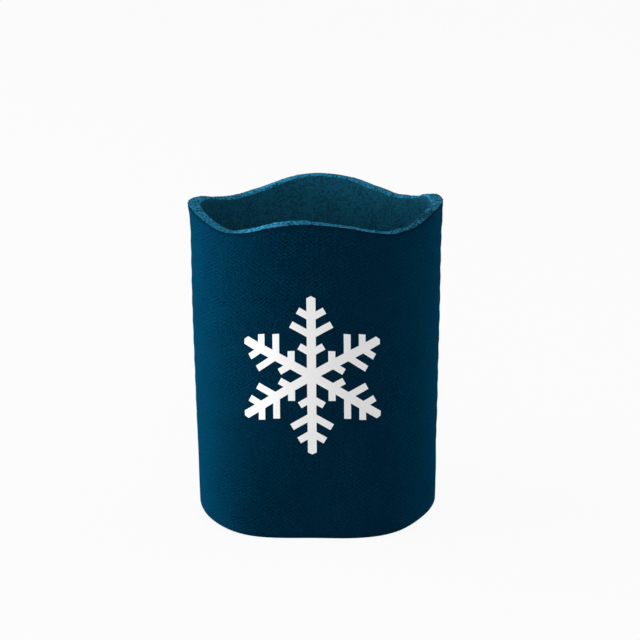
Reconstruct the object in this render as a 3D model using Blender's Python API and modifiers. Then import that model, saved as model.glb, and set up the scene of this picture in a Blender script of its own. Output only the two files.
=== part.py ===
"""A can cooler sleeve: one folded foam blank joined up both sides, with a wave-cut rim, and the print on its front.

The sleeve starts as a plain turned cup. Every point of that cup is then drawn to the shape that folded foam takes:
pinched out at the two side seams, flattened along the folds at the foot and cut to a wave at the rim.
Metres, +Z up. The side seams lie at +X and -X, the print is on the front at -Y, and the foot stands on z = 0.
"""

import math

import bmesh
import bpy

# The foam and the can that it grips
BORE_DIAMETER = 0.0663
WALL = 0.0038
RIM_EDGE_RADIUS = 0.0006
OUTER_RADIUS = BORE_DIAMETER / 2 + WALL

# The rim: four crests, over the front, the back and both seams, with a dip between each two
HEIGHT = 0.0978
WAVE_COUNT = 4
WAVE_DEPTH = 0.0046
WAVE_FULLNESS = 1.2
SEAM_CREST_DROP = 0.0006

# The side seams, where the two halves of the blank meet and stand off the can
SEAM_RIDGE = 0.0017
SEAM_RIDGE_FADE = 1.4
SEAM_RIDGE_ANGLE = math.radians(28)
SEAM_GROOVE_DEPTH = 0.0006
SEAM_GROOVE_HALF_WIDTH = 0.0009

# The foot, squarer than the round above it because the front and back of the base are straight folds
FOOT_HALF_WIDTH = 0.0364
FOOT_HALF_DEPTH = 0.0356
FOOT_SQUARENESS = 2.65
FOOT_BLEND_HEIGHT = 0.055
FOLD_RADIUS = 0.0015
FLOOR_EDGE_RADIUS = 0.0008

# The base is drawn up towards the foot of each side seam
HEEL_RISE = 0.0054
HEEL_REACH = 0.010
HEEL_FADE_HEIGHT = 0.030
HEEL_NARROWNESS = 4

# The crease across the base, on which the empty sleeve folds flat, and the join round each end of the base
CREASE_RISE = 0.0008
CREASE_HALF_WIDTH = 0.0020
BASE_JOIN_INSET = 0.0045
BASE_JOIN_DEPTH = 0.0005
BASE_JOIN_HALF_WIDTH = 0.0006
BASE_FOLD_HALF_LENGTH = 0.0155

# The print, a plain ice crystal with six arms, sized as it lies on the flat blank
PRINT_DIAMETER = 0.049
PRINT_CENTRE_HEIGHT = 0.0515
PRINT_FILM = 0.0003
PRINT_CLEARANCE = 0.0003
PRINT_ARMS = 6
ARM_WIDTH = 0.0027
BRANCH_WIDTH = 0.0021
BRANCH_ANGLE = math.radians(60)
# How far out along an arm each pair of branches leaves it, and how long each branch is
BRANCHES = ((0.0070, 0.0042), (0.0124, 0.0070), (0.0178, 0.0046))

# Fineness of the mesh
COLUMNS = 96
COLUMN_CROWDING = 0.6
WALL_ROWS = 10
ARC_STEPS = 3
BASE_RINGS = 4
PRINT_STRIP = 0.003

SLEEVE_COLOUR = (0.0024, 0.0315, 0.0740, 1.0)
PRINT_COLOUR = (0.90, 0.90, 0.90, 1.0)


def arc(centre, radius, start, end):
    """Points of a quarter-turn of the profile, from one angle to the other."""
    points = []
    for step in range(ARC_STEPS + 1):
        angle = start + (end - start) * step / ARC_STEPS
        points.append((centre[0] + radius * math.cos(angle), centre[1] + radius * math.sin(angle)))
    return points


def spread(start, end, count):
    """Points evenly spaced between two points of the profile, both left out."""
    return [
        (start[0] + (end[0] - start[0]) * step / count, start[1] + (end[1] - start[1]) * step / count)
        for step in range(1, count)
    ]


def cup_profile():
    """The section of the plain cup: from the middle of the floor, up the bore, over the rim, down and under."""
    bore = OUTER_RADIUS - WALL
    quarter = math.pi / 2
    floor_arc = arc((bore - FLOOR_EDGE_RADIUS, WALL + FLOOR_EDGE_RADIUS), FLOOR_EDGE_RADIUS, -quarter, 0)
    rim_height = HEIGHT - RIM_EDGE_RADIUS
    inner_rim = arc((bore + RIM_EDGE_RADIUS, rim_height), RIM_EDGE_RADIUS, math.pi, quarter)
    outer_rim = arc((OUTER_RADIUS - RIM_EDGE_RADIUS, rim_height), RIM_EDGE_RADIUS, quarter, 0)
    fold = arc((OUTER_RADIUS - FOLD_RADIUS, FOLD_RADIUS), FOLD_RADIUS, 0, -quarter)
    join = OUTER_RADIUS - BASE_JOIN_INSET
    base_join = [(join + BASE_JOIN_HALF_WIDTH, 0), (join, 0), (join - BASE_JOIN_HALF_WIDTH, 0)]
    return (
        [(0, WALL)]
        + spread((0, WALL), floor_arc[0], BASE_RINGS)
        + floor_arc
        + spread(floor_arc[-1], inner_rim[0], WALL_ROWS)
        + inner_rim
        + outer_rim
        + spread(outer_rim[-1], fold[0], WALL_ROWS)
        + fold
        + base_join
        + spread(base_join[-1], (0, 0), BASE_RINGS)
        + [(0, 0)]
    )


def smooth_step(value):
    """0 below 0, 1 above 1 and an easy curve between."""
    share = min(max(value, 0.0), 1.0)
    return share * share * (3 - 2 * share)


def rim_drop(angle):
    """How far the rim lies below the front crest, at an angle round the sleeve."""
    wave = (1 - math.cos(WAVE_COUNT * angle)) / 2
    return WAVE_DEPTH * wave**WAVE_FULLNESS + SEAM_CREST_DROP * math.cos(angle) ** 8


def seam_angle(angle):
    """The angle to the nearer side seam."""
    return abs(math.asin(math.sin(angle)))


def plan_radius(angle, height):
    """Outer radius at an angle and a height: square-shouldered at the foot, round above, ridged at the seams."""
    across = abs(math.cos(angle)) / FOOT_HALF_WIDTH
    along = abs(math.sin(angle)) / FOOT_HALF_DEPTH
    foot = (across**FOOT_SQUARENESS + along**FOOT_SQUARENESS) ** (-1 / FOOT_SQUARENESS)
    wall = foot + (OUTER_RADIUS - foot) * smooth_step(height / FOOT_BLEND_HEIGHT)
    ridge = SEAM_RIDGE * (max(height, 0.0) / HEIGHT) ** SEAM_RIDGE_FADE
    return wall + ridge * math.exp(-((seam_angle(angle) / SEAM_RIDGE_ANGLE) ** 2))


def heel_lift(angle, radius, height):
    """How far the base and the lowest wall are drawn up beside the foot of a seam."""
    outward = max(0.0, (radius - OUTER_RADIUS + HEEL_REACH) / HEEL_REACH)
    fade = max(0.0, 1 - height / HEEL_FADE_HEIGHT)
    return HEEL_RISE * abs(math.cos(angle)) ** HEEL_NARROWNESS * outward**2 * fade**2


def groove(distance, depth, half_width):
    """Depth of a groove at a distance from its middle line."""
    return depth * math.exp(-((distance / half_width) ** 2))


def drawn(angle, radius, height):
    """Where a point of the plain cup lies on the real sleeve."""
    bore = OUTER_RADIUS - WALL
    join = OUTER_RADIUS - BASE_JOIN_INSET
    climb = max(0.0, (height - FOLD_RADIUS) / (HEIGHT - FOLD_RADIUS))
    new_height = height - rim_drop(angle) * climb + heel_lift(angle, radius, height)
    outward = min(radius / bore, 1.0)
    new_radius = radius + (plan_radius(angle, height) - OUTER_RADIUS) * outward
    seam_distance = OUTER_RADIUS * seam_angle(angle)
    on_outside = smooth_step((radius - bore) / WALL)
    new_radius -= on_outside * groove(seam_distance, SEAM_GROOVE_DEPTH, SEAM_GROOVE_HALF_WIDTH)
    if radius < bore:
        crease_share = 1 - smooth_step((radius - join) / (bore - join))
        new_height += crease_share * groove(radius * math.sin(angle), CREASE_RISE, CREASE_HALF_WIDTH)
    if height <= 0:
        beside_fold = smooth_step(abs(radius * math.cos(angle)) / BASE_FOLD_HALF_LENGTH - 1)
        new_height += beside_fold * groove(radius - join, BASE_JOIN_DEPTH, BASE_JOIN_HALF_WIDTH / 2)
    return (new_radius * math.cos(angle), new_radius * math.sin(angle), new_height)


def plain_material(name, colour, roughness):
    material = bpy.data.materials.new(name)
    material.use_nodes = True
    shader = material.node_tree.nodes["Principled BSDF"]
    shader.inputs["Base Color"].default_value = colour
    shader.inputs["Roughness"].default_value = roughness
    shader.inputs["Metallic"].default_value = 0.0
    material.diffuse_color = colour
    return material


def evaluated_mesh(source):
    """The mesh that an object's modifiers or bevel give, with the object itself removed."""
    bpy.context.view_layer.update()
    seen = source.evaluated_get(bpy.context.evaluated_depsgraph_get())
    mesh = bpy.data.meshes.new_from_object(seen)
    bpy.data.objects.remove(source)
    return mesh


def add_part(collection, name, mesh, material):
    part = bpy.data.objects.new(name, mesh)
    mesh.materials.clear()
    mesh.materials.append(material)
    collection.objects.link(part)
    return part


def turned_cup(collection):
    """The plain cup, turned from its section."""
    profile = cup_profile()
    mesh = bpy.data.meshes.new("cup_section")
    edges = [(index, index + 1) for index in range(len(profile) - 1)]
    mesh.from_pydata([(radius, 0, height) for radius, height in profile], edges, [])
    section = bpy.data.objects.new("cup_section", mesh)
    collection.objects.link(section)
    turn = section.modifiers.new("turn", "SCREW")
    turn.axis = "Z"
    turn.steps = COLUMNS
    turn.render_steps = COLUMNS
    turn.use_merge_vertices = True
    turn.merge_threshold = 0.00001
    return evaluated_mesh(section)


def foam_sleeve(collection):
    """The folded foam blank, drawn from the turned cup, with its columns crowded towards the seams."""
    mesh = turned_cup(collection)
    for vertex in mesh.vertices:
        x, y, height = vertex.co
        even = math.atan2(y, x)
        angle = even - COLUMN_CROWDING * math.sin(2 * even) / 2
        vertex.co = drawn(angle, math.hypot(x, y), height)
    mesh.shade_smooth()
    mesh.set_sharp_from_angle(angle=math.radians(50))
    foam = plain_material("petrol_foam", SLEEVE_COLOUR, 0.95)
    return add_part(collection, "foam_sleeve", mesh, foam)


def arm_side():
    """One side of an arm's outline, from the notch between two arms out to the tip, along +X with the side at +Y."""
    half_arm = ARM_WIDTH / 2
    half_branch = BRANCH_WIDTH / 2
    lean_x = math.cos(BRANCH_ANGLE)
    lean_y = math.sin(BRANCH_ANGLE)
    notch = half_arm / math.tan(math.pi / PRINT_ARMS)
    points = [(notch, half_arm)]
    for start, length in BRANCHES:
        for side in (1, -1):
            offset = side * half_branch
            root = (half_arm - offset * lean_x) / lean_y
            root_point = (start - offset * lean_y + root * lean_x, half_arm)
            tip_point = (start - offset * lean_y + length * lean_x, offset * lean_x + length * lean_y)
            points += [root_point, tip_point] if side == 1 else [tip_point, root_point]
    points.append((PRINT_DIAMETER / 2 - half_arm / 2, half_arm))
    points.append((PRINT_DIAMETER / 2, 0))
    return points


def crystal_outline():
    """The whole outline: each arm's two sides, turned round the middle."""
    side = arm_side()
    other_side = [(x, -y) for x, y in side[:-1]]
    arm = other_side + side[::-1]
    outline = []
    for number in range(PRINT_ARMS):
        turn = math.pi / 2 + 2 * math.pi * number / PRINT_ARMS
        for x, y in arm:
            outline.append((x * math.cos(turn) - y * math.sin(turn), x * math.sin(turn) + y * math.cos(turn)))
    return outline


def flat_print(collection):
    """The print as a flat film, lying in XY."""
    outline = crystal_outline()
    curve = bpy.data.curves.new("crystal", "CURVE")
    curve.dimensions = "2D"
    curve.fill_mode = "BOTH"
    curve.extrude = PRINT_FILM / 2
    spline = curve.splines.new("POLY")
    spline.points.add(len(outline) - 1)
    for point, (x, y) in zip(spline.points, outline):
        point.co = (x, y, 0, 1)
    spline.use_cyclic_u = True
    crystal = bpy.data.objects.new("crystal", curve)
    collection.objects.link(crystal)
    return evaluated_mesh(crystal)


def front_print(collection):
    """The print film, cut into upright strips so that it bends, and wrapped round the front of the sleeve."""
    mesh = flat_print(collection)
    film = bmesh.new()
    film.from_mesh(mesh)
    bmesh.ops.remove_doubles(film, verts=film.verts, dist=0.00001)
    strips = math.ceil(PRINT_DIAMETER / 2 / PRINT_STRIP)
    for number in range(1 - strips, strips):
        everything = film.verts[:] + film.edges[:] + film.faces[:]
        bmesh.ops.bisect_plane(
            film, geom=everything, plane_co=(number * PRINT_STRIP, 0, 0), plane_no=(1, 0, 0), dist=0.000001
        )
    bmesh.ops.triangulate(film, faces=film.faces)
    for vertex in film.verts:
        along, up, out = vertex.co
        angle = along / OUTER_RADIUS - math.pi / 2
        radius = OUTER_RADIUS + PRINT_CLEARANCE + PRINT_FILM / 2 + out
        vertex.co = drawn(angle, radius, PRINT_CENTRE_HEIGHT + up)
    bmesh.ops.recalc_face_normals(film, faces=film.faces)
    film.to_mesh(mesh)
    film.free()
    ink = plain_material("white_ink", PRINT_COLOUR, 0.5)
    return add_part(collection, "front_print", mesh, ink)


def clear_scene():
    for thing in list(bpy.data.objects):
        bpy.data.objects.remove(thing)


def main():
    clear_scene()
    parts = bpy.data.collections.new("can_cooler_sleeve")
    bpy.context.scene.collection.children.link(parts)
    foam_sleeve(parts)
    front_print(parts)


main()
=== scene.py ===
"""The look of a foam can cooler sleeve: its knitted face, cut rim and white print, and the stage round it.

The sleeve is worked out as one skin over a section. A plain turned cup is described by an angle, a radius
and a height, and every point of it is drawn to the shape that folded foam takes. Lengths are in metres, +Z
is up, the side seams lie at +X and -X and the print is on the front at -Y.
"""

import math

import bpy
import numpy as np
from bpy.props import FloatProperty, FloatVectorProperty, IntProperty, PointerProperty
from mathutils import Matrix, Vector


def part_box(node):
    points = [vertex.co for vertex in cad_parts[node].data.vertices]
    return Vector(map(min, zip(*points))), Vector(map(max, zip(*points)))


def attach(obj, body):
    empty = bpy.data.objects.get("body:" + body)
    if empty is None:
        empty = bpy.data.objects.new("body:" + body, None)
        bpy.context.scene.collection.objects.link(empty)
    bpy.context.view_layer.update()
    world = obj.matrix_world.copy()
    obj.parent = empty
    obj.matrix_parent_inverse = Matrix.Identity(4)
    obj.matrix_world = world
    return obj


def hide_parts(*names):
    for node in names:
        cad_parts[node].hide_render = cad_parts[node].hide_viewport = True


bl_info = {
    "name": "Foam Can Sleeve",
    "version": (1, 0, 0),
    "blender": (4, 5, 0),
    "location": "View3D > Sidebar > Can Sleeve",
    "description": "Builds the finish of a foam can cooler sleeve round its packed model",
    "category": "Object",
}

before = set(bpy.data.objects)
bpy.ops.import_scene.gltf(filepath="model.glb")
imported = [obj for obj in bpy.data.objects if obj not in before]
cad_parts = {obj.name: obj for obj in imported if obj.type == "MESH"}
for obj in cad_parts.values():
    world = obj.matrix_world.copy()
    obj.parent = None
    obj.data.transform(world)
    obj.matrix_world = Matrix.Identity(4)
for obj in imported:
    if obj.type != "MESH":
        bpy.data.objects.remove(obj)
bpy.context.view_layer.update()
SLEEVE_LOW, SLEEVE_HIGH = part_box("foam_sleeve")
ROOT = "root"

# The zones of the sleeve's skin, in the order of its material slots
# The last zone is a copy of the knit with less sheen. Its darkening on the rim's outer rounding, below the
# lip, round the lower fold and under the base is painted shade
KNIT, CUT, LINING, LOW_SHEEN = 0, 1, 2, 3
MILLIMETRE = 0.001
# Keeps a sum of weights above zero
TINY = 1e-9
# A hair under the base, so that the two never share a plane
FLOOR_LEVEL = -0.0002

# Fine relief of the joins, each as a depth and a half width
SEAM_GROOVE = (0.0006, 0.0007)
INNER_SEAM_RIDGE = (0.0008, 0.0012)
RIM_NOTCH = (0.00035, 0.0003)
BASE_JOIN = (0.0005, 0.0003)
PUCKER = (0.00010, 0.004)
PUCKER_PITCH = 0.0062
# The relief of a seam fades away over this height at its foot, and inside it starts this far up
SEAM_FADE = 0.01
INNER_SEAM_START = 0.006
CREASE_HALF_WIDTH = 0.0020
# The base is folded this far to each side of its middle, and joined beyond
BASE_FOLD_HALF_LENGTH = 0.0155
# Roughness of the rim, each as a height, a width and the seed of its random draw, and how far down it goes
RIM_GRAIN = (0.00015, 0.0007, 11)
RIM_WAVER = (0.00016, 0.0045, 12)
RIM_DEPTH = 0.0012
# How strongly the columns of points are crowded towards the seams
CROWDING = 0.6
# How quickly the lift and the slant of the rim's cut fade down the wall, as powers of the height
LIFT_POWER, SLANT_POWER = 6, 24

# Swells of the soft wall. Each row: degrees round, height, half width in degrees, half width in height, and
# how far out. Heights and distances here are in millimetres
SIDE_SWELLS = (
    (0, 10, 40, 12, 0.45), (0, 28, 40, 12, 0.15), (0, 46, 40, 12, -0.07), (0, 64, 40, 12, 0.06),
    (0, 92, 40, 12, -0.05), (0, 99, 40, 12, 0.20), (0, 94, 20, 4, 0.12),
    (180, 10, 40, 12, 0.36), (180, 28, 40, 12, 0.21), (180, 46, 40, 12, 0.07), (180, 64, 40, 12, 0.11),
    (180, 80, 40, 12, -0.07), (180, 92, 40, 12, -0.19), (180, 99, 40, 12, -0.11), (180, 97.8, 20, 4, 0.53),
)
# Swells of the foot, alike at the front and the back. Each row: degrees, with the front at -90, and
# millimetres out. Their half widths are degrees round and metres up
FOOT_SWELL_TURN, FOOT_SWELL_HEIGHT = 14, 0.022
FOOT_SWELLS = (
    (-172, -0.58), (-155, 0.35), (-121, 0.85), (-104, -0.19), (-87, -0.56), (-70, 0.30), (-53, 0.91),
    (-36, -0.32), (-19, 0.86), (-2, -1.09),
)
# Slow waves of the back: their height in millimetres, then the closeness and the phase of each sine
BACK_WAVE = 0.12
ROUND_SINE = (3, 1.3)
UPRIGHT_SINE = (52, 0.8)
# The cut of the rim. Each row: degrees, millimetres that the edge is lifted, and millimetres that the inside
# stands higher. The rows blend into each other over this many degrees
RIM_CUT_BLEND = 9
RIM_CUT = (
    (-170, 0.05, -0.30), (-150, 0.00, -0.22), (-135, -0.30, 0.00), (-122, -0.45, 0.88), (-108, -0.45, 1.00),
    (-95, -0.30, 0.60), (-82, -0.55, 0.12), (-68, -0.65, 0.25), (-56, -0.52, 0.40), (-42, -0.45, 0.00),
    (-28, -0.45, -0.50), (-12, -0.60, -0.50), (0, -0.95, -0.20), (20, -0.10, 0.10), (60, 0.00, 0.35),
    (90, 0.00, 0.45), (120, 0.00, 0.30), (160, 0.00, 0.00),
)

# Painted shade on the skin, each as a share and a half width: just below the rim's lip, in a seam's groove,
# and painted shadow on the cut edge at the front right. The first lies this far down, and the last at this
# many degrees
LIP_SHADE, LIP_SHADE_DROP = (0.45, 0.0006), 0.0003
SEAM_SHADE = (0.35, 0.0006)
CUT_SHADE, CUT_SHADE_MIDDLE = (0.40, math.radians(18)), -25
# The share of painted shade on the cloth where it turns under
FOLD_SHADE = 0.45

# The knit's ribs. Each row: direction and closeness over the flat blank, strength, and scale of its patches
RIBS = (
    ((3.20, -5.30, 0), 0.21, 0.30),
    ((3.45, 4.45, 0), 0.15, 0.34),
)
# How far noise bends the ribs in millimetres, and how noise is stretched into upright streaks
RIB_DRIFT = (1.9, 1.9, 0.0)
STREAK_STRETCH = (1.3, 0.16, 0)
GRAIN_SHARE, SPECK_SHARE, STREAK_SHARE = 1.2, 0.85, 0.50
# The knit's darkest and lightest tone, as shares of its colour
KNIT_TONES = (0.17, 1.84)

# The branches of each arm of the print. Each row: where it starts along the arm, and its length
BRANCHES = ((0.0070, 0.0042), (0.0124, 0.0070), (0.0178, 0.0046))
BRANCH_LEAN = math.radians(60)
ARMS = 6
PATCH_STEPS = 6
# Points of the print that round to the same place at this size are one
WELD = 2e-6

FLOOR_RINGS = (0.05, 0.2, 0.8, 3.0)
FLOOR_COLUMNS = 96
# The soft lamps. Each row: name, degrees round from the front to the right, degrees up, metres from the
# middle of the sleeve, width and height in metres, and watts
LAMPS = (
    ("left_lamp", -108, 0.5, 1.1, 0.7, 0.1, 20.5),
    ("left_front_lamp", -68, 3, 1.2, 0.7, 0.7, 9.0),
    ("front_lamp", 4, 24, 1.4, 1.0, 1.0, 5.2),
    ("right_lamp", 112, 0.5, 1.1, 0.5, 0.1, 4.4),
)


class SleeveSizes(bpy.types.PropertyGroup):
    """The sleeve's sizes, which are those of the solid that it stands for."""

    bore: FloatProperty(
        name="Bore", description="Width inside the round part", default=0.0663, unit="LENGTH"
    )
    wall: FloatProperty(name="Wall", description="Thickness of the foam", default=0.0038, unit="LENGTH")
    height: FloatProperty(
        name="Height", description="Height of the front crest", default=SLEEVE_HIGH.z, unit="LENGTH"
    )
    wave_depth: FloatProperty(
        name="Wave depth", description="From a crest of the rim down to a dip",
        default=0.0046, unit="LENGTH",
    )
    wave_fullness: FloatProperty(
        name="Wave fullness", description="Above 1 the crests are broader than the dips", default=1.2
    )
    right_crest_drop: FloatProperty(
        name="Right crest drop", description="How far the crest at +X lies low",
        default=-0.0001, unit="LENGTH",
    )
    left_crest_drop: FloatProperty(
        name="Left crest drop", description="How far the crest at -X lies low",
        default=0.0012, unit="LENGTH",
    )
    seam_ridge: FloatProperty(
        name="Seam ridge", description="How far the rim stands off at a seam", default=0.0017, unit="LENGTH"
    )
    seam_ridge_fade: FloatProperty(
        name="Ridge fade", description="How fast the ridge fades down the wall", default=1.4
    )
    seam_ridge_angle: FloatProperty(
        name="Ridge angle", description="Half width of the ridge", default=math.radians(28), subtype="ANGLE"
    )
    foot_half_width: FloatProperty(
        name="Foot half width", description="From the middle to a seam at the foot",
        default=0.0364, unit="LENGTH",
    )
    foot_half_depth: FloatProperty(
        name="Foot half depth", description="From the middle to the front fold",
        default=0.0356, unit="LENGTH",
    )
    foot_squareness: FloatProperty(
        name="Foot squareness", description="2 is an ellipse, more is squarer", default=2.65
    )
    foot_blend: FloatProperty(
        name="Foot blend", description="Height at which the wall is round", default=0.055, unit="LENGTH"
    )
    fold_radius: FloatProperty(
        name="Fold radius", description="Roundness of the lower edge", default=0.0015, unit="LENGTH"
    )
    heel_rise: FloatProperty(
        name="Heel rise", description="How far the base is drawn up at a seam",
        default=0.0054, unit="LENGTH",
    )
    heel_reach: FloatProperty(
        name="Heel reach", description="How far in from the edge the base rises",
        default=0.010, unit="LENGTH",
    )
    heel_fade: FloatProperty(
        name="Heel fade", description="Height at which the rise has gone", default=0.030, unit="LENGTH"
    )
    crease_rise: FloatProperty(
        name="Crease rise", description="Height of the crease across the base",
        default=0.0008, unit="LENGTH",
    )
    join_inset: FloatProperty(
        name="Join inset", description="From the edge in to the join under the base",
        default=0.0045, unit="LENGTH",
    )
    columns: IntProperty(name="Columns", description="Strips round the sleeve", default=512, min=32)


class SleeveColours(bpy.types.PropertyGroup):
    """The colours of the sleeve and its print."""

    knit: FloatVectorProperty(
        name="Knit", description="Knitted face", default=(0.0004, 0.0166, 0.0362), subtype="COLOR", size=3
    )
    sheen: FloatVectorProperty(
        name="Sheen", description="Nap at a grazing view",
        default=(0.001, 0.392, 0.82), subtype="COLOR", size=3,
    )
    foam: FloatVectorProperty(
        name="Foam", description="Cut edge of the foam",
        default=(0.0129, 0.164, 0.284), subtype="COLOR", size=3,
    )
    # The lining is set darker than the cut foam, though both are the same dyed foam: painted shade for the
    # inside of the sleeve
    lining: FloatVectorProperty(
        name="Lining", description="Foam inside the sleeve",
        default=(0.0056, 0.073, 0.124), subtype="COLOR", size=3,
    )
    ink: FloatVectorProperty(
        name="Ink", description="Print on the front", default=(0.92, 0.92, 0.92), subtype="COLOR", size=3
    )


class PrintSizes(bpy.types.PropertyGroup):
    """The print's sizes, as it lies on the flat blank."""

    centre_height: FloatProperty(
        name="Centre height", description="Height of the middle of the print", default=0.0515, unit="LENGTH"
    )
    diameter: FloatProperty(
        name="Diameter", description="Width over two opposite arms", default=0.049, unit="LENGTH"
    )
    arm_width: FloatProperty(name="Arm width", description="Width of an arm", default=0.0027, unit="LENGTH")
    branch_width: FloatProperty(
        name="Branch width", description="Width of a branch", default=0.0021, unit="LENGTH"
    )
    film: FloatProperty(name="Film", description="Thickness of the ink", default=0.00008, unit="LENGTH")
    lift: FloatProperty(name="Lift", description="Gap under the ink", default=0.00003, unit="LENGTH")


class StageSettings(bpy.types.PropertyGroup):
    """The camera, as it was found from the photograph, and the lamps."""

    distance: FloatProperty(
        name="Distance", description="Level distance of the camera", default=1.0, unit="LENGTH"
    )
    eye_height: FloatProperty(
        name="Eye height", description="Height of the camera", default=0.31036, unit="LENGTH"
    )
    side_step: FloatProperty(
        name="Side step", description="How far the camera stands to the right",
        default=0.00111, unit="LENGTH",
    )
    turn: FloatProperty(
        name="Turn", description="How far round the sleeve the camera stands", default=math.radians(2.38),
        subtype="ANGLE",
    )
    pitch: FloatProperty(
        name="Pitch", description="How far down the camera looks",
        default=math.radians(14.0915), subtype="ANGLE",
    )
    roll: FloatProperty(
        name="Roll", description="Lean of the camera", default=math.radians(-0.48), subtype="ANGLE"
    )
    lens: FloatProperty(name="Lens", description="Focal length in millimetres", default=188.84, min=1)
    world_level: FloatProperty(name="World level", description="Strength of the even light", default=0.403)


def smooth_step(value):
    """0 below 0, 1 above 1 and an easy cubic between."""
    share = np.clip(value, 0, 1)
    return share * share * (3 - 2 * share)


def bell(distance, half_width):
    """A bell, 1 in its middle: e to the power of minus the square of the distance over the half width."""
    return np.exp(-((distance / half_width) ** 2))


def mark(distance, size):
    """A groove or ridge: its depth times a bell over the distance from its middle line."""
    depth, half_width = size
    return depth * bell(distance, half_width)


def wave(value, sine):
    """A sine of a value, given its closeness and its phase."""
    closeness, phase = sine
    return np.sin(closeness * value + phase)


def outer_radius(sizes):
    """The radius of the outside where the sleeve is round."""
    return sizes.bore / 2 + sizes.wall


def seam_angle(angle):
    """The angle to the nearer side seam."""
    return np.abs(np.arcsin(np.clip(np.sin(angle), -1, 1)))


def rim_drop(angle, sizes):
    """Four even waves round the rim, raised to a power that broadens the crests, and a drop at each seam."""
    dip = (1 - np.cos(4 * angle)) / 2
    crest_drop = np.where(np.cos(angle) > 0, sizes.right_crest_drop, sizes.left_crest_drop)
    return sizes.wave_depth * dip**sizes.wave_fullness + crest_drop * np.cos(angle) ** 8


def plan_radius(angle, height, sizes):
    """A superellipse at the foot that eases into a circle, with a bell at each seam that grows upwards."""
    outer = outer_radius(sizes)
    across = np.abs(np.cos(angle)) / sizes.foot_half_width
    along = np.abs(np.sin(angle)) / sizes.foot_half_depth
    foot = (across**sizes.foot_squareness + along**sizes.foot_squareness) ** (-1 / sizes.foot_squareness)
    wall = foot + (outer - foot) * smooth_step(height / sizes.foot_blend)
    ridge = sizes.seam_ridge * (np.maximum(height, 0) / sizes.height) ** sizes.seam_ridge_fade
    return wall + ridge * bell(seam_angle(angle), sizes.seam_ridge_angle)


def heel_lift(angle, radius, height, sizes):
    """The rise beside a seam's foot: squares of the way out and the way down, and a fourth power round."""
    outer = outer_radius(sizes)
    outward = np.maximum(0, (radius - outer + sizes.heel_reach) / sizes.heel_reach)
    fade = np.maximum(0, 1 - height / sizes.heel_fade)
    return sizes.heel_rise * np.cos(angle) ** 4 * outward**2 * fade**2


def turned(angle, middle):
    """The angle from a middle given in degrees, between -180 and 180 degrees."""
    away = angle - math.radians(middle)
    return np.arctan2(np.sin(away), np.cos(away))


def swells(angle, height):
    """How far soft foam stands off its true form: a sum of bells, with slow waves added at the back."""
    front = np.arctan2(-np.abs(np.sin(angle)), np.cos(angle))
    total = 0 * angle * height
    for middle, level, half_turn, half_height, amount in SIDE_SWELLS:
        round_it = bell(turned(angle, middle), math.radians(half_turn))
        total = total + amount * round_it * bell(height / MILLIMETRE - level, half_height)
    for middle, amount in FOOT_SWELLS:
        round_it = bell(turned(front, middle), math.radians(FOOT_SWELL_TURN))
        total = total + amount * round_it * bell(height, FOOT_SWELL_HEIGHT)
    back = smooth_step(np.sin(angle) * 2)
    total = total + BACK_WAVE * back * wave(angle, ROUND_SINE) * wave(height, UPRIGHT_SINE)
    return total * MILLIMETRE


def rim_cut(angle):
    """The rim's lift and slant at an angle: the mean of the table's rows, each weighed by a bell."""
    weights, lift, slant = 0, 0, 0
    for middle, edge_lift, inner_rise in RIM_CUT:
        weight = bell(turned(angle, middle), math.radians(RIM_CUT_BLEND)) + TINY
        weights = weights + weight
        lift = lift + weight * edge_lift
        slant = slant + weight * inner_rise
    return lift / weights * MILLIMETRE, slant / weights * MILLIMETRE


def drawn(angle, radius, height, sizes):
    """Where points of the plain cup lie on the real sleeve, as an array with x, y and z last."""
    outer = outer_radius(sizes)
    bore = sizes.bore / 2
    join = outer - sizes.join_inset
    arc = outer * seam_angle(angle)
    climb = np.maximum(0, (height - sizes.fold_radius) / (sizes.height - sizes.fold_radius))
    z = height - rim_drop(angle, sizes) * climb + heel_lift(angle, radius, height, sizes)
    lift, slant = rim_cut(angle)
    inward = smooth_step((outer - radius) / sizes.wall)
    z = z + climb**LIFT_POWER * lift + climb**SLANT_POWER * slant * inward
    outward = np.minimum(radius / bore, 1)
    away = radius + (plan_radius(angle, height, sizes) - outer) * outward
    on_outside = smooth_step((radius - bore) / sizes.wall)
    away = away + swells(angle, height) * outward
    pucker = mark(arc, PUCKER) * np.sin(2 * np.pi * height / PUCKER_PITCH)
    away = away - on_outside * (mark(arc, SEAM_GROOVE) + pucker * smooth_step(height / SEAM_FADE))
    in_bore = (1 - on_outside) * smooth_step((height - INNER_SEAM_START) / SEAM_FADE)
    away = away + in_bore * mark(arc, INNER_SEAM_RIDGE)
    in_base = 1 - smooth_step((radius - join) / (bore - join))
    z = z + in_base * sizes.crease_rise * bell(radius * np.sin(angle), CREASE_HALF_WIDTH)
    beside_fold = smooth_step(np.abs(radius * np.cos(angle)) / BASE_FOLD_HALF_LENGTH - 1)
    z = z + (height <= 0) * beside_fold * mark(radius - join, BASE_JOIN)
    return np.stack([away * np.cos(angle), away * np.sin(angle), z], axis=-1)


def value_noise(x, y, seed):
    """Smooth random hills, from -1 to 1: random values on whole numbers, with an easy cubic between them."""
    table = np.random.default_rng(seed).uniform(-1, 1, (256, 256))
    left, low = np.floor(x).astype(int), np.floor(y).astype(int)
    across, up = smooth_step(x - left), smooth_step(y - low)
    corner = [table[(left + i) % 256, (low + j) % 256] for i in (0, 1) for j in (0, 1)]
    near = corner[0] + (corner[1] - corner[0]) * up
    far = corner[2] + (corner[3] - corner[2]) * up
    return near + (far - near) * across


def quarter_turn(centre_radius, centre_height, size, start, end, steps):
    """Points of an arc in the section, as radii and heights."""
    turn = np.linspace(start, end, steps)
    return centre_radius + size * np.cos(turn), centre_height + size * np.sin(turn)


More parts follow.
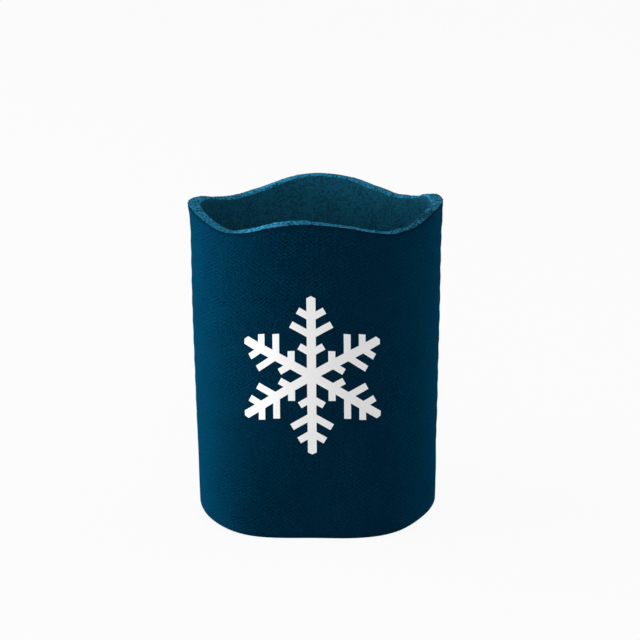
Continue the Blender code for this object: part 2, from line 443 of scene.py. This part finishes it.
def sleeve_section(sizes):
    """The section as radii, heights and zones: over the floor, up the bore, over the rim, down and under."""
    outer = outer_radius(sizes)
    bore = sizes.bore / 2
    top = sizes.height
    fold = sizes.fold_radius
    join = outer - sizes.join_inset
    # Radii of the rim's outer edge, its inner edge and the corner beside the floor
    face, soft, low_edge = 0.00022, 0.0006, 0.0008
    # The lip just below the rim: its length, and the depth, place and half width of a shallow dip in it
    lip_length, dip, dip_place, dip_width = 0.0011, 0.00016, 0.0004, 0.00028
    # The half width of the join under the base, and of the gap left for it
    strip, beside_strip = 0.0005, 0.0008
    lip = np.linspace(0.00012, lip_length, 8)
    lip_radii = outer - dip * bell(lip - dip_place, dip_width)
    lip_heights = top - face - lip
    pieces = [
        (np.linspace(0, bore - low_edge, 13)[1:-1], np.full(11, sizes.wall), LINING),
        (*quarter_turn(bore - low_edge, sizes.wall + low_edge, low_edge, -np.pi / 2, 0, 5), LINING),
        (np.full(44, bore), np.linspace(sizes.wall + low_edge, top - soft, 46)[1:-1], LINING),
        (*quarter_turn(bore + soft, top - soft, soft, np.pi, np.pi / 2, 5), CUT),
        (np.linspace(bore + soft, outer - face, 12)[1:], np.full(11, top), CUT),
        # The rim's outer rounding and the top of the lip take the knit with less sheen, as painted shade
        (*quarter_turn(outer - face, top - face, face, np.pi / 2.6, 0, 4), LOW_SHEEN),
        (lip_radii[:3], lip_heights[:3], LOW_SHEEN),
        (lip_radii[3:], lip_heights[3:], KNIT),
        (np.full(52, outer), np.linspace(top - face - lip_length, fold, 54)[1:-1], KNIT),
        (*quarter_turn(outer - fold, fold, fold, 0, -np.pi / 8, 2), KNIT),
        # The lower fold and the base take the knit with less sheen, as painted shade
        (*quarter_turn(outer - fold, fold, fold, -np.pi / 4, -np.pi / 2, 5), LOW_SHEEN),
        (np.linspace(outer - fold, join + beside_strip, 4)[1:], np.zeros(3), LOW_SHEEN),
        (join + np.linspace(strip, -strip, 5), np.zeros(5), LOW_SHEEN),
        (np.linspace(join - beside_strip, 0, 14)[:-1], np.zeros(13), LOW_SHEEN),
    ]
    radii = np.concatenate([piece[0] for piece in pieces])
    heights = np.concatenate([piece[1] for piece in pieces])
    zones = np.concatenate([np.full(len(piece[0]), piece[2]) for piece in pieces])
    return radii, heights, zones


def column_angles(count):
    """Angles round the sleeve from -180 degrees, crowded towards the seams by a sine of twice the angle."""
    even = np.linspace(-np.pi, np.pi, count + 1)
    return even - CROWDING * np.sin(2 * even) / 2


def ring_faces(rings, columns):
    """Faces over closed rings of points, and a fan from the first ring to the point after the last."""
    ring, column = np.meshgrid(np.arange(rings - 1), np.arange(columns), indexing="ij")
    after = (column + 1) % columns
    near, far = ring * columns, (ring + 1) * columns
    quads = np.stack([near + column, far + column, far + after, near + after], axis=-1).reshape(-1, 4)
    here = np.arange(columns)
    fan = np.stack([np.full(columns, rings * columns), here, (here + 1) % columns], axis=-1)
    return quads, fan


def end_fan(rings, columns):
    """Three-sided faces from the last ring to the second point after it."""
    here = np.arange(columns)
    last_ring = (rings - 1) * columns
    pole = np.full(columns, rings * columns + 1)
    return np.stack([last_ring + here, pole, last_ring + (here + 1) % columns], axis=-1)


def mesh_from_arrays(name, points, quads, triangles):
    """A mesh from whole arrays of points, four-sided faces and three-sided faces."""
    mesh = bpy.data.meshes.new(name)
    corners = np.concatenate([quads.ravel(), triangles.ravel()])
    totals = np.concatenate([np.full(len(quads), 4), np.full(len(triangles), 3)])
    starts = np.concatenate([[0], np.cumsum(totals)[:-1]])
    mesh.vertices.add(len(points))
    mesh.vertices.foreach_set("co", points.astype(np.float32).ravel())
    mesh.loops.add(len(corners))
    mesh.loops.foreach_set("vertex_index", corners.astype(np.int32))
    mesh.polygons.add(len(totals))
    mesh.polygons.foreach_set("loop_start", starts.astype(np.int32))
    mesh.update(calc_edges=True)
    mesh.validate()
    mesh.shade_smooth()
    return mesh


def cloth_corners(angles, radii, heights, points, sizes):
    """Where the corners of the quads lie on the flat blank, in millimetres, with the base below the wall."""
    outer = outer_radius(sizes)
    middle = (angles[:-1] + angles[1:]) / 2
    half_centre = np.where(middle < 0, -np.pi / 2, np.pi / 2)
    under = (heights <= 0)[:, None]
    wrapped = np.concatenate([points, points[:, :1]], axis=1)
    sides = []
    for edge, place in ((angles[:-1], wrapped[:, :-1]), (angles[1:], wrapped[:, 1:])):
        across = np.where(under, place[..., 0], outer * (edge - half_centre))
        up = np.where(under, -outer - place[..., 1], heights[:, None])
        sides.append(np.stack([across, up], -1))
    on_left, on_right = sides
    corners = np.stack([on_left[:-1], on_left[1:], on_right[1:], on_right[:-1]], axis=2)
    return corners.reshape(-1, 2) / MILLIMETRE


def lay_cloth(mesh, places):
    """Stores where each corner of a mesh lies on the flat blank."""
    cloth = mesh.uv_layers.new(name="cloth")
    cloth.uv.foreach_set("vector", places.astype(np.float32).ravel())


def finish_piece(piece, materials):
    """Gives a piece its materials and the body that it rides on."""
    for material in materials:
        piece.data.materials.append(material)
    bpy.context.scene.collection.objects.link(piece)
    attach(piece, ROOT)


class NodeBoard:
    """The nodes of one new material, with short ways to add them and join them."""

    def __init__(self, name):
        self.material = bpy.data.materials.new(name)
        self.material.use_nodes = True
        self.tree = self.material.node_tree
        self.shader = self.tree.nodes["Principled BSDF"]

    def add(self, kind, inputs=(), **settings):
        """A new node. inputs pairs a socket's name or number with a value or with another node's output."""
        node = self.tree.nodes.new(kind)
        for name, value in settings.items():
            setattr(node, name, value)
        for name, value in inputs:
            self.put(node, name, value)
        return node

    def put(self, node, name, value):
        """Joins an output to a socket, or sets the socket to a value."""
        if isinstance(value, bpy.types.NodeSocket):
            self.tree.links.new(value, node.inputs[name])
        else:
            node.inputs[name].default_value = value

    def shade(self, name, value):
        """Puts a value or an output on the material's own shader."""
        self.put(self.shader, name, value)

    def math(self, operation, first, second=0.0):
        """The outcome of one step of arithmetic."""
        return self.add("ShaderNodeMath", [(0, first), (1, second)], operation=operation).outputs[0]

    def product(self, first, *factors):
        """Values multiplied one after another."""
        for factor in factors:
            first = self.math("MULTIPLY", first, factor)
        return first

    def vector_math(self, operation, *values):
        """A result on vectors: a number for a dot product, and else a vector."""
        node = self.add("ShaderNodeVectorMath", enumerate(values), operation=operation)
        return node.outputs["Value" if operation == "DOT_PRODUCT" else "Vector"]

    def stored_painted_shade(self):
        """The share of its colour that each point keeps under the painted shade stored on the mesh."""
        return self.add("ShaderNodeAttribute", attribute_name="shade").outputs["Fac"]

    def blend(self, share, low, high):
        """A colour between two, by a share from 0 to 1."""
        node = self.add("ShaderNodeMix", data_type="RGBA")
        self.put(node, 0, share)
        self.put(node, 6, low)
        self.put(node, 7, high)
        return node.outputs[2]

    def noise(self, vector, scale, detail=3.0, roughness=0.5):
        """Soft noise from 0 to 1, mostly near a half."""
        inputs = [("Vector", vector), ("Scale", scale), ("Detail", detail), ("Roughness", roughness)]
        return self.add("ShaderNodeTexNoise", inputs).outputs["Fac"]

    def spread(self, value, low, high, new_low=0.0, new_high=1.0):
        """A value carried from one range to another, and held inside it."""
        inputs = [(0, value), (1, low), (2, high), (3, new_low), (4, new_high)]
        return self.add("ShaderNodeMapRange", inputs).outputs[0]

    def bump(self, height, strength, depth):
        """Tilts the shading over a relief. Its depth is in metres."""
        inputs = [("Height", height), ("Strength", strength), ("Distance", depth)]
        self.shade("Normal", self.add("ShaderNodeBump", inputs).outputs[0])


def scaled(colour, factor):
    """A colour made darker or lighter, with full alpha."""
    return (*[min(1.0, channel * factor) for channel in colour], 1.0)


def knit_relief(board):
    """The knit's relief over the flat blank in millimetres: two crossing sets of slanting ribs, with noise.

    Each set is a sine of the place along its direction, about 1 mm from rib to rib, and its strength comes
    and goes. Grain, raised specks and upright streaks are added. All of it grows with the height, as the
    cloth is drawn flatter towards the foot. Towards the upper right it is made fainter, a painted stand-in
    for the weaker light there, which also flattens its bump. It stands out more in some patches than in
    others.
    """
    cloth = board.add("ShaderNodeUVMap", uv_map="cloth").outputs[0]
    drift_inputs = [("Vector", cloth), ("Scale", 0.9), ("Detail", 3.0)]
    drift = board.add("ShaderNodeTexNoise", drift_inputs).outputs["Color"]
    bent = board.vector_math("MULTIPLY_ADD", drift, RIB_DRIFT, cloth)
    upright = board.vector_math("MULTIPLY", cloth, STREAK_STRETCH)
    grain = board.math("SUBTRACT", board.noise(cloth, 2.1, detail=3.0, roughness=0.75), 0.5)
    streaks = board.math("SUBTRACT", board.noise(upright, 1.0, detail=2.0), 0.5)
    specks = board.spread(board.noise(cloth, 2.3, detail=1.0), 0.60, 0.76, 0.0, SPECK_SHARE)
    flecked = board.math("ADD", board.product(grain, GRAIN_SHARE), specks)
    total = board.math("ADD", flecked, board.product(streaks, STREAK_SHARE))
    for direction, strength, patch_scale in RIBS:
        along = board.vector_math("DOT_PRODUCT", bent, direction)
        patchy = board.spread(board.noise(cloth, patch_scale, detail=3.0), 0.40, 0.62, 0.15, 1.35)
        total = board.math("ADD", total, board.product(board.math("SINE", along), strength, patchy))
    place = board.add("ShaderNodeSeparateXYZ", [(0, cloth)])
    across, up = place.outputs["X"], place.outputs["Y"]
    drawn_flat = board.spread(up, 30.0, 88.0, 0.62, 1.08)
    from_left, from_right = board.spread(across, -10.0, 22.0), board.spread(across, 54.0, 34.0)
    # Fainter towards the upper right: a painted stand-in for the weaker light there
    fade_for_weaker_light = board.product(from_left, from_right, board.spread(up, 45.0, 75.0, 0.0, 0.55))
    blotchy = board.spread(board.noise(cloth, 0.05, detail=2.0), 0.35, 0.65, 0.75, 1.15)
    kept = board.math("SUBTRACT", 1.0, fade_for_weaker_light)
    return cloth, board.math("ADD", board.product(total, board.product(drawn_flat, blotchy, kept)), 0.5)


def knit_material(name, colours, nap):
    """The knitted face: dark petrol blue, mottled by its stitches, with a nap that lightens at a slant."""
    board = NodeBoard(name)
    cloth, relief = knit_relief(board)
    mottle = board.spread(board.noise(cloth, 0.12, detail=4.0), 0.3, 0.7, 0.90, 1.10)
    # The colour is darkened by the painted shade stored on the mesh
    tone = board.spread(board.product(relief, mottle, board.stored_painted_shade()), 0.0, 1.0)
    dark, light = [scaled(colours.knit, factor) for factor in KNIT_TONES]
    board.shade("Base Color", board.blend(tone, dark, light))
    board.shade("Roughness", 0.92)
    board.shade("Specular IOR Level", 0.0)
    board.shade("Sheen Weight", nap)
    board.shade("Sheen Roughness", 0.50)
    board.shade("Sheen Tint", scaled(colours.sheen, 1.0))
    board.bump(relief, 0.20, 0.00020)
    return board.material


def foam_material(name, colour, cell, depth, contrast):
    """Open-cell foam: round cells with pores painted darker as shade between lighter walls, and tufts a few
    cells wide.
    """
    board = NodeBoard(name)
    place = board.add("ShaderNodeTexCoord").outputs["Object"]
    cells = board.add("ShaderNodeTexVoronoi", [("Vector", place), ("Scale", 1 / cell)])
    tufts = board.spread(board.noise(place, 0.6 / cell, detail=4.0, roughness=0.65), 0.32, 0.68)
    slow = board.noise(place, 260.0, detail=3.0)
    # The pores are painted darker towards the middle of each cell, as shade in the hollows. The same relief
    # makes the bump
    pores = board.spread(cells.outputs["Distance"], 0.10, 0.70)
    relief = board.math("ADD", board.product(pores, 0.50), board.product(tufts, 0.50))
    # The colour is darkened by the painted shade stored on the mesh
    tone = board.product(relief, board.spread(slow, 0.3, 0.7, 0.8, 1.2), board.stored_painted_shade())
    low, high = scaled(colour, 1 - contrast), scaled(colour, 1 + contrast)
    board.shade("Base Color", board.blend(board.spread(tone, 0.28, 0.72), low, high))
    board.shade("Roughness", 0.95)
    board.shade("Specular IOR Level", 0.05)
    board.bump(relief, 0.8, depth)
    return board.material


def ink_material(colours):
    """White screen ink, matt, with the knit under it showing faintly."""
    board = NodeBoard("white_ink")
    cloth, relief = knit_relief(board)
    wear = board.spread(board.noise(cloth, 2.2, detail=4.0), 0.25, 0.6)
    board.shade("Base Color", board.blend(wear, scaled(colours.ink, 0.95), scaled(colours.ink, 1.0)))
    board.shade("Roughness", 0.62)
    board.shade("Specular IOR Level", 0.25)
    board.bump(relief, 0.10, 0.0001)
    return board.material


def rough_rim(turn, radii, heights, zones, sizes):
    """How far the rim is lifted: fine random hills on its cut, a slow waver, and a notch at each seam."""
    outer = outer_radius(sizes)
    near_rim = bell(heights - sizes.height, RIM_DEPTH)
    height, width, seed = RIM_GRAIN
    grain = (zones == CUT) * height * value_noise(outer * turn / width, radii / width, seed)
    height, width, seed = RIM_WAVER
    waver = near_rim * height * value_noise(outer * turn / width, radii * 0, seed)
    return grain + waver - near_rim * mark(outer * seam_angle(turn), RIM_NOTCH)


def painted_shade_share(turn, radii, heights, zones, sizes):
    """The share of its colour that each point keeps: 1, less the painted shade of each darker place."""
    lip_painted_shadow = mark(sizes.height - heights - LIP_SHADE_DROP, LIP_SHADE)
    fold_painted_shade = FOLD_SHADE * smooth_step(1 - heights / sizes.fold_radius) * (radii > sizes.bore / 2)
    cloth_painted_shade = (lip_painted_shadow + fold_painted_shade) * np.isin(zones, (KNIT, LOW_SHEEN))
    cut_painted_shadow = (zones == CUT) * mark(turned(turn, CUT_SHADE_MIDDLE), CUT_SHADE)
    return 1 - cloth_painted_shade - mark(outer_radius(sizes) * seam_angle(turn), SEAM_SHADE) - cut_painted_shadow


def sleeve_mesh(sizes):
    """The skin of the sleeve: the section carried round the angles, drawn to shape and rough at the rim."""
    angles = column_angles(sizes.columns)
    radii, heights, zones = sleeve_section(sizes)
    places = (angles[None, :-1], radii[:, None], heights[:, None])
    points = drawn(*places, sizes)
    points[..., 2] += rough_rim(*places, zones[:, None], sizes)
    floor_middle = drawn(np.zeros(1), np.zeros(1), np.full(1, sizes.wall), sizes)
    base_middle = drawn(np.zeros(1), np.zeros(1), np.zeros(1), sizes)
    flat = np.concatenate([points.reshape(-1, 3), floor_middle, base_middle])
    quads, start_fan = ring_faces(len(radii), sizes.columns)
    fans = np.concatenate([start_fan, end_fan(len(radii), sizes.columns)])
    mesh = mesh_from_arrays("sleeve", flat, quads, fans)
    # Painted shade, stored on the points as the share of colour each keeps
    tone = painted_shade_share(*places, zones[:, None], sizes)
    shade = mesh.attributes.new("shade", "FLOAT", "POINT")
    shade.data.foreach_set("value", np.concatenate([tone.ravel(), [1, 1]]).astype(np.float32))
    face_zones = np.repeat([*zones[:-1], LINING, LOW_SHEEN], sizes.columns)
    mesh.polygons.foreach_set("material_index", face_zones.astype(np.int32))
    quad_map = cloth_corners(angles, radii, heights, points, sizes)
    fan_points = flat[fans.ravel()]
    fan_map = np.stack([fan_points[:, 0], -outer_radius(sizes) - fan_points[:, 1]], -1) / MILLIMETRE
    lay_cloth(mesh, np.concatenate([quad_map, fan_map]))
    return mesh


def patch(corners, across, along):
    """A grid of points over four corners, the two sides of each row mixed in proportion."""
    u = np.linspace(0, 1, across + 1)[None, :, None]
    v = np.linspace(0, 1, along + 1)[:, None, None]
    a, b, c, d = [np.array(corner, float) for corner in corners]
    return (a * (1 - u) + b * u) * (1 - v) + (d * (1 - u) + c * u) * v


def grid_quads(rows, columns):
    """Faces over an open grid of points."""
    row, column = np.meshgrid(np.arange(rows - 1), np.arange(columns - 1), indexing="ij")
    first = row * columns + column
    return np.stack([first, first + 1, first + columns + 1, first + columns], axis=-1).reshape(-1, 4)


def arm_patches(sizes):
    """One arm of the crystal, along +X, as four-cornered patches of its middle, its bar and its branches."""
    half = sizes.arm_width / 2
    branch_half = sizes.branch_width / 2
    lean_x, lean_y = math.cos(BRANCH_LEAN), math.sin(BRANCH_LEAN)
    notch = half / math.tan(math.pi / ARMS)
    reach = sizes.diameter / 2
    patches = [((0, 0), (notch, -half), (notch, half), (0, 0))]
    last = notch
    for start, length in BRANCHES:
        roots = []
        for side in (1, -1):
            offset = side * branch_half
            slide = (half - offset * lean_x) / lean_y
            tip = (start - offset * lean_y + length * lean_x, offset * lean_x + length * lean_y)
            roots.append((start - offset * lean_y + slide * lean_x, tip))
        (inner, inner_tip), (outer, outer_tip) = roots
        patches.append(((last, -half), (inner, -half), (inner, half), (last, half)))
        patches.append(((inner, -half), (outer, -half), (outer, half), (inner, half)))
        patches.append(((inner, half), (outer, half), outer_tip, inner_tip))
        mirrored = [(x, -y) for x, y in (outer_tip, inner_tip)]
        patches.append((mirrored[1], mirrored[0], (outer, -half), (inner, -half)))
        last = outer
    shoulder = reach - half / 2
    patches.append(((last, -half), (shoulder, -half), (shoulder, half), (last, half)))
    patches.append(((shoulder, -half), (reach, 0), (reach, 0), (shoulder, half)))
    return patches


def crystal_points(sizes):
    """The points and faces of all the crystal's patches, with the arms evenly turned round the middle."""
    points, faces, count = [], [], 0
    side = PATCH_STEPS + 1
    for number in range(ARMS):
        turn = math.pi / 2 + number * math.pi / (ARMS / 2)
        spin = np.array([[math.cos(turn), math.sin(turn)], [-math.sin(turn), math.cos(turn)]])
        for corners in arm_patches(sizes):
            grid = patch(corners, PATCH_STEPS, PATCH_STEPS) @ spin
            points.append(grid.reshape(-1, 2))
            faces.append(grid_quads(side, side) + count)
            count += side * side
    return np.concatenate(points), np.concatenate(faces)


def merged(points, faces):
    """Points that round to the same place made one, and the faces renumbered to match."""
    rounded = np.round(points / WELD).astype(int)
    first, place = np.unique(rounded, axis=0, return_index=True, return_inverse=True)[1:]
    return points[first], place.ravel()[faces]


def border_edges(faces):
    """The edges that only one face has, in that face's direction."""
    edges = np.stack([faces, np.roll(faces, -1, axis=1)], axis=-1).reshape(-1, 2)
    edges = edges[edges[:, 0] != edges[:, 1]]
    both_ways = np.sort(edges, axis=1)
    place, counts = np.unique(both_ways, axis=0, return_inverse=True, return_counts=True)[1:]
    return edges[counts[place.ravel()] == 1]


def print_mesh(sizes, print_sizes):
    """The crystal wrapped round the front at two depths, with a wall along each edge that has one face."""
    flat, faces = merged(*crystal_points(print_sizes))
    count = len(flat)
    outer = outer_radius(sizes)
    angle = flat[:, 0] / outer - math.pi / 2
    height = print_sizes.centre_height + flat[:, 1]
    levels = [
        drawn(angle, np.full(count, outer + print_sizes.lift + out), height, sizes)
        for out in (print_sizes.film, 0.0)
    ]
    edge = border_edges(faces)
    walls = np.stack([edge[:, 1], edge[:, 0], edge[:, 0] + count, edge[:, 1] + count], axis=-1)
    all_faces = np.concatenate([faces, faces[:, ::-1] + count, walls])
    pinched = all_faces == np.roll(all_faces, -1, axis=1)
    triangles = np.array([face[~flags] for face, flags in zip(all_faces, pinched) if flags.any()])
    quads = all_faces[~pinched.any(axis=1)]
    mesh = mesh_from_arrays("print", np.concatenate(levels), quads, triangles)
    mesh.set_sharp_from_angle(angle=math.radians(40))
    blank = np.stack([flat[:, 0], height], -1) / MILLIMETRE
    corners = np.concatenate([quads.ravel(), triangles.ravel()])
    lay_cloth(mesh, np.concatenate([blank, blank])[corners])
    return mesh


class SLEEVE_OT_foam(bpy.types.Operator):
    """Build the foam sleeve: knitted face, cut rim and lining as one closed skin"""

    bl_idname = "can_sleeve.foam"
    bl_label = "Foam Sleeve"

    def execute(self, context):
        sizes, colours = context.scene.can_sleeve_sizes, context.scene.can_sleeve_colours
        piece = bpy.data.objects.new("sleeve", sleeve_mesh(sizes))
        materials = [
            knit_material("petrol_knit", colours, nap=0.15),
            foam_material("cut_foam", colours.foam, cell=0.00058, depth=0.00035, contrast=0.85),
            # The lining's darker colour is painted shade inside the sleeve
            foam_material("foam_lining", colours.lining, cell=0.00060, depth=0.00015, contrast=0.35),
            # The knit with less sheen, as painted shade at the lip, the lower fold and the base
            knit_material("low_sheen_knit", colours, nap=0.10),
        ]
        finish_piece(piece, materials)
        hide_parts("foam_sleeve")
        return {"FINISHED"}


class SLEEVE_OT_print(bpy.types.Operator):
    """Build the white ink print that lies on the front of the sleeve"""

    bl_idname = "can_sleeve.print"
    bl_label = "Front Print"

    def execute(self, context):
        scene = context.scene
        piece = bpy.data.objects.new("ink_print", print_mesh(scene.can_sleeve_sizes, scene.can_sleeve_print))
        finish_piece(piece, [ink_material(scene.can_sleeve_colours)])
        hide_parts("front_print")
        return {"FINISHED"}


def seen_ray(tree):
    """1 for a ray that leads to the eye, straight, mirrored or through glass, and 0 for any other."""
    path = tree.nodes.new("ShaderNodeLightPath")
    seen = path.outputs["Is Camera Ray"]
    for kind in ("Is Glossy Ray", "Is Transmission Ray"):
        either = tree.nodes.new("ShaderNodeMath")
        either.operation = "MAXIMUM"
        tree.links.new(seen, either.inputs[0])
        tree.links.new(path.outputs[kind], either.inputs[1])
        seen = either.outputs[0]
    return seen


def stage_material(name, colour, glow):
    """A pale matt surface that is seen partly as plain white, so that the ground is white with a shadow."""
    board = NodeBoard(name)
    tree = board.tree
    board.shade("Base Color", scaled(colour, 1.0))
    board.shade("Roughness", 0.9)
    board.shade("Specular IOR Level", 0.0)
    white = board.add("ShaderNodeEmission", [("Color", (1, 1, 1, 1)), ("Strength", 1.0)])
    share = board.math("MULTIPLY", seen_ray(tree), glow)
    mix = board.add("ShaderNodeMixShader", [(0, share), (1, board.shader.outputs[0]), (2, white.outputs[0])])
    tree.links.new(mix.outputs[0], tree.nodes["Material Output"].inputs[0])
    return board.material


def add_floor():
    """A wide level disc just under the sleeve: rings of points round its middle."""
    turn = np.linspace(0, 2 * np.pi, FLOOR_COLUMNS + 1)[:-1]
    radii = np.array(FLOOR_RINGS)[:, None]
    level = np.full((len(FLOOR_RINGS), FLOOR_COLUMNS), FLOOR_LEVEL)
    rings = np.stack([radii * np.cos(turn), radii * np.sin(turn), level], -1).reshape(-1, 3)
    points = np.concatenate([rings, [[0, 0, FLOOR_LEVEL]]])
    quads, fan = ring_faces(len(FLOOR_RINGS), FLOOR_COLUMNS)
    floor = bpy.data.objects.new("floor", mesh_from_arrays("floor", points, quads, fan))
    floor.data.materials.append(stage_material("pale_floor", (0.86, 0.86, 0.86), glow=0.93))
    bpy.context.scene.collection.objects.link(floor)


def add_lamp(name, azimuth, elevation, distance, width, tallness, power):
    """An oblong soft lamp that looks at the middle of the sleeve."""
    lamp = bpy.data.lights.new(name, "AREA")
    lamp.shape = "RECTANGLE"
    lamp.size = width
    lamp.size_y = tallness
    lamp.energy = power
    holder = bpy.data.objects.new(name, lamp)
    turn, rise = math.radians(azimuth), math.radians(elevation)
    aim = Vector((math.sin(turn) * math.cos(rise), -math.cos(turn) * math.cos(rise), math.sin(rise)))
    middle = (Vector(SLEEVE_LOW) + Vector(SLEEVE_HIGH)) / 2
    holder.location = middle + aim * distance
    holder.rotation_euler = aim.to_track_quat("Z", "Y").to_euler()
    bpy.context.scene.collection.objects.link(holder)


def add_world(level):
    """Even light of the given strength, and plain white where the surround is seen past the floor."""
    world = bpy.data.worlds.new("studio")
    world.use_nodes = True
    tree = world.node_tree
    light = tree.nodes["Background"]
    light.inputs["Color"].default_value = (1, 1, 1, 1)
    light.inputs["Strength"].default_value = level
    white = tree.nodes.new("ShaderNodeBackground")
    white.inputs["Color"].default_value = (1, 1, 1, 1)
    mix = tree.nodes.new("ShaderNodeMixShader")
    tree.links.new(seen_ray(tree), mix.inputs[0])
    tree.links.new(light.outputs[0], mix.inputs[1])
    tree.links.new(white.outputs[0], mix.inputs[2])
    tree.links.new(mix.outputs[0], tree.nodes["World Output"].inputs[0])
    bpy.context.scene.world = world


def add_camera(stage):
    """The camera: set back from the sleeve by its distance, turned round it, tipped down and leaned."""
    data = bpy.data.cameras.new("camera")
    data.lens = stage.lens
    data.sensor_width = 36.0
    data.clip_end = 20.0
    camera = bpy.data.objects.new("camera", data)
    turn = Matrix.Rotation(stage.turn, 4, "Z")
    stand = Matrix.Translation((stage.side_step, -stage.distance, stage.eye_height))
    tip = Matrix.Rotation(math.pi / 2 - stage.pitch, 4, "X")
    lean = Matrix.Rotation(stage.roll, 4, "Z")
    camera.matrix_world = turn @ stand @ tip @ lean
    bpy.context.scene.collection.objects.link(camera)
    bpy.context.scene.camera = camera


class SLEEVE_OT_stage(bpy.types.Operator):
    """Set up the pale floor, the soft lamps, the white surround and the camera"""

    bl_idname = "can_sleeve.stage"
    bl_label = "Stage"

    def execute(self, context):
        stage = context.scene.can_sleeve_stage
        add_floor()
        for row in LAMPS:
            add_lamp(*row)
        add_world(stage.world_level)
        add_camera(stage)
        context.scene.view_settings.view_transform = "Standard"
        return {"FINISHED"}


class SLEEVE_PT_panel(bpy.types.Panel):
    """Lists the sleeve's pieces and sizes"""

    bl_label = "Can Sleeve"
    bl_idname = "SLEEVE_PT_panel"
    bl_space_type = "VIEW_3D"
    bl_region_type = "UI"
    bl_category = "Can Sleeve"

    def draw(self, context):
        layout = self.layout
        groups = (
            ("can_sleeve_sizes", SLEEVE_OT_foam),
            ("can_sleeve_print", SLEEVE_OT_print),
            ("can_sleeve_colours", None),
            ("can_sleeve_stage", SLEEVE_OT_stage),
        )
        for name, operator in groups:
            box = layout.box()
            settings = getattr(context.scene, name)
            for key in settings.bl_rna.properties.keys():
                if key not in ("rna_type", "name"):
                    box.prop(settings, key)
            if operator:
                box.operator(operator.bl_idname)


CLASSES = (
    SleeveSizes, SleeveColours, PrintSizes, StageSettings, SLEEVE_OT_foam, SLEEVE_OT_print, SLEEVE_OT_stage,
    SLEEVE_PT_panel,
)
SETTINGS = {
    "can_sleeve_sizes": SleeveSizes,
    "can_sleeve_colours": SleeveColours,
    "can_sleeve_print": PrintSizes,
    "can_sleeve_stage": StageSettings,
}


def register():
    """Adds the classes to Blender, and the settings to its scenes."""
    for item in CLASSES:
        bpy.utils.register_class(item)
    for name, group in SETTINGS.items():
        setattr(bpy.types.Scene, name, PointerProperty(type=group))


def unregister():
    """Takes the settings and the classes out again."""
    for name in SETTINGS:
        delattr(bpy.types.Scene, name)
    for item in reversed(CLASSES):
        bpy.utils.unregister_class(item)


def main():
    """Builds both pieces and the stage."""
    register()
    bpy.ops.can_sleeve.foam()
    bpy.ops.can_sleeve.print()
    bpy.ops.can_sleeve.stage()
    bpy.context.view_layer.update()


if __name__ == "__main__":
    main()
